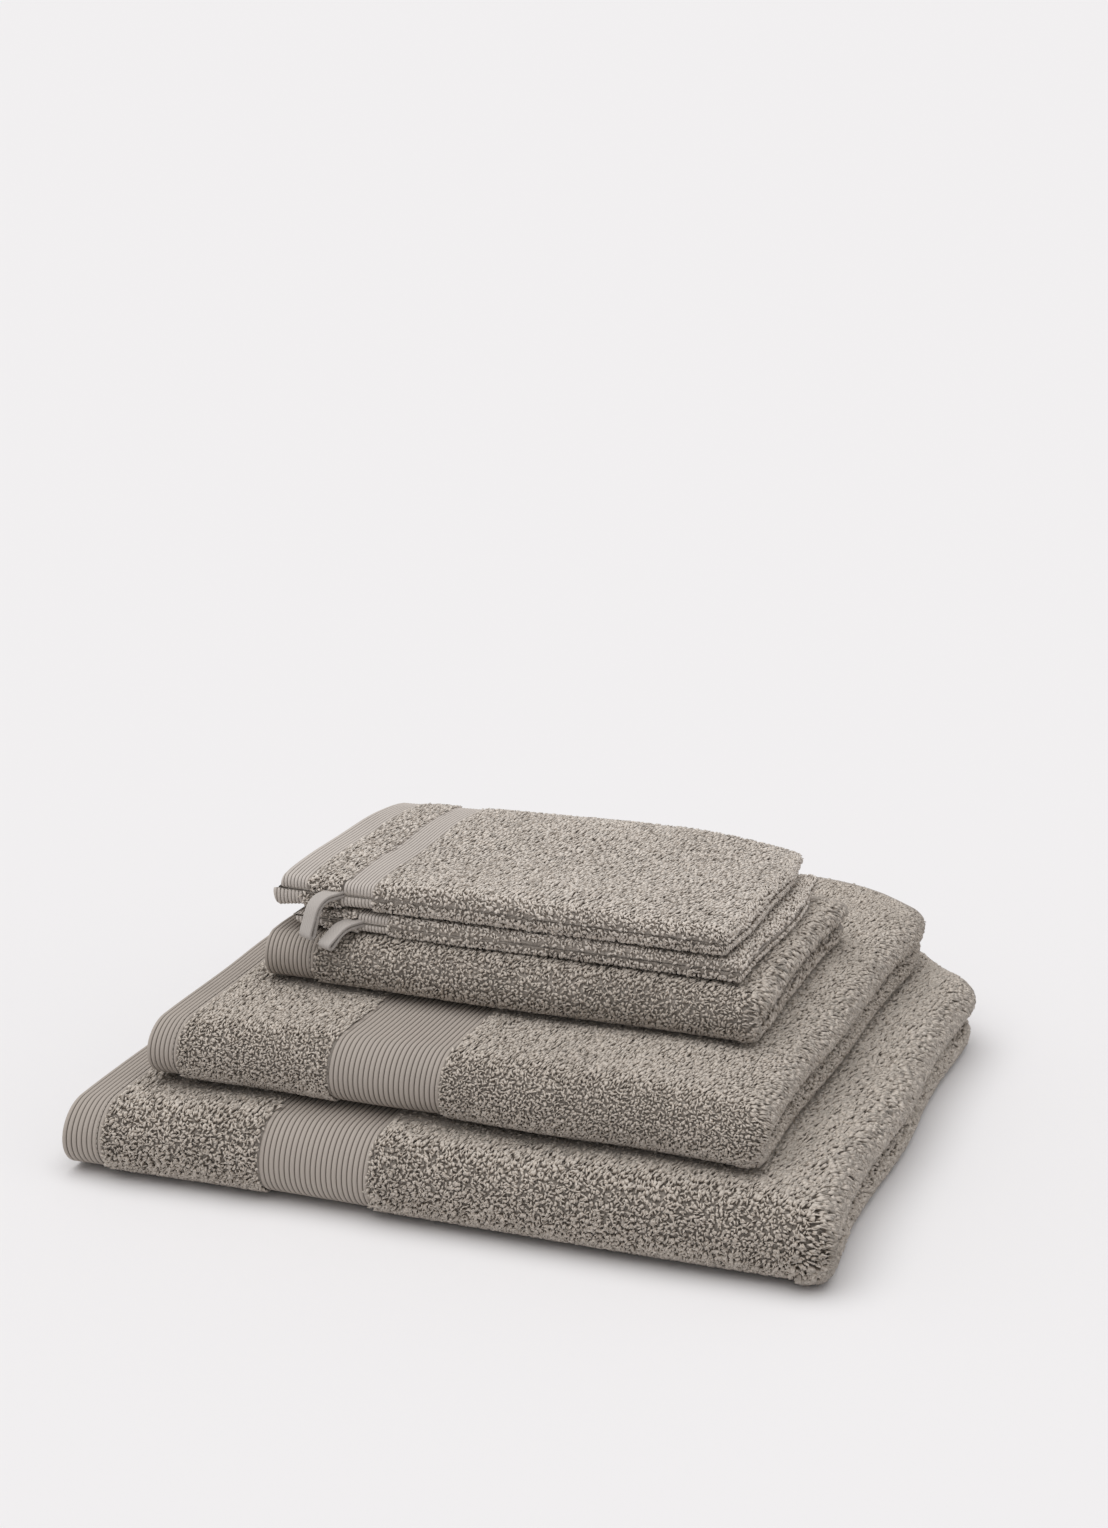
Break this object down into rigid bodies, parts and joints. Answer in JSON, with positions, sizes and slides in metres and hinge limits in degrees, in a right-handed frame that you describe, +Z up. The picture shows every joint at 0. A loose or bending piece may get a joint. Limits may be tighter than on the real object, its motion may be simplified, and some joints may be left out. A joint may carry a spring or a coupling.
{
  "type": "folded towel set",
  "caption": "Stack of folded terry towels in falling sizes with flat terry wash mitts on top, ribbed hems and borders, and drooping tape hanging loops.",
  "frame": {"origin": "middle of the bath towel's underside, on the surface that the stack lies on", "axes": "+X along the front folds from the hemmed ends to the closed ends, +Y from the front folds to the open back edges, +Z up"},
  "size_m": [0.347, 0.336, 0.1212],
  "materials": {
    "terry": "looped cotton terry, warm taupe grey",
    "ribbed_band": "flat woven cotton with fine ribs, warm taupe grey",
    "side_hem": "plain woven cotton, turned and sewn",
    "thread": "twisted sewing thread",
    "loop_tape": "twill woven cotton tape, a little lighter and cooler"
  },
  "bodies": {
    "bath_towel": {"bath_towel_cloth": "terry", "bath_towel_outer_hem": "ribbed_band", "bath_towel_inner_hem": "ribbed_band", "bath_towel_border": "ribbed_band", "bath_towel_side_hems": "side_hem", "bath_towel_stitching": "thread"},
    "hand_towel": {"hand_towel_cloth": "terry", "hand_towel_outer_hem": "ribbed_band", "hand_towel_inner_hem": "ribbed_band", "hand_towel_border": "ribbed_band", "hand_towel_side_hems": "side_hem", "hand_towel_stitching": "thread"},
    "guest_towel": {"guest_towel_cloth": "terry", "guest_towel_outer_hem": "ribbed_band", "guest_towel_inner_hem": "ribbed_band", "guest_towel_side_hems": "side_hem", "guest_towel_stitching": "thread"},
    "lower_mitt": {"lower_mitt_top_panel": "terry", "lower_mitt_bottom_panel": "terry", "lower_mitt_top_cuff": "ribbed_band", "lower_mitt_bottom_cuff": "ribbed_band", "lower_mitt_top_border": "ribbed_band", "lower_mitt_bottom_border": "ribbed_band", "lower_mitt_seam": "thread"},
    "lower_loop": {"lower_mitt_loop": "loop_tape"},
    "upper_mitt": {"upper_mitt_top_panel": "terry", "upper_mitt_bottom_panel": "terry", "upper_mitt_top_cuff": "ribbed_band", "upper_mitt_bottom_cuff": "ribbed_band", "upper_mitt_top_border": "ribbed_band", "upper_mitt_bottom_border": "ribbed_band", "upper_mitt_seam": "thread"},
    "upper_loop": {"upper_mitt_loop": "loop_tape"}
  },
  "joints": [
    {"name": "hand_towel_lift", "type": "slide", "parent": "bath_towel", "child": "hand_towel", "axis": [0, 0, 1], "range_m": [0, 0.12]},
    {"name": "guest_towel_lift", "type": "slide", "parent": "hand_towel", "child": "guest_towel", "axis": [0, 0, 1], "range_m": [0, 0.1]},
    {"name": "lower_mitt_lift", "type": "slide", "parent": "guest_towel", "child": "lower_mitt", "axis": [0, 0, 1], "range_m": [0, 0.08]},
    {"name": "upper_mitt_lift", "type": "slide", "parent": "lower_mitt", "child": "upper_mitt", "axis": [0, 0, 1], "range_m": [0, 0.08]},
    {"name": "lower_loop_swing", "type": "hinge", "parent": "lower_mitt", "child": "lower_loop", "pos_m": [-0.0724, -0.08261, 0.10165], "axis": [-0.9026, 0.4305, 0], "range_deg": [0, 90]},
    {"name": "upper_loop_swing", "type": "hinge", "parent": "upper_mitt", "child": "upper_loop", "pos_m": [-0.08234, -0.08253, 0.1142], "axis": [-0.9026, 0.4305, 0], "range_deg": [0, 90]}
  ]
}
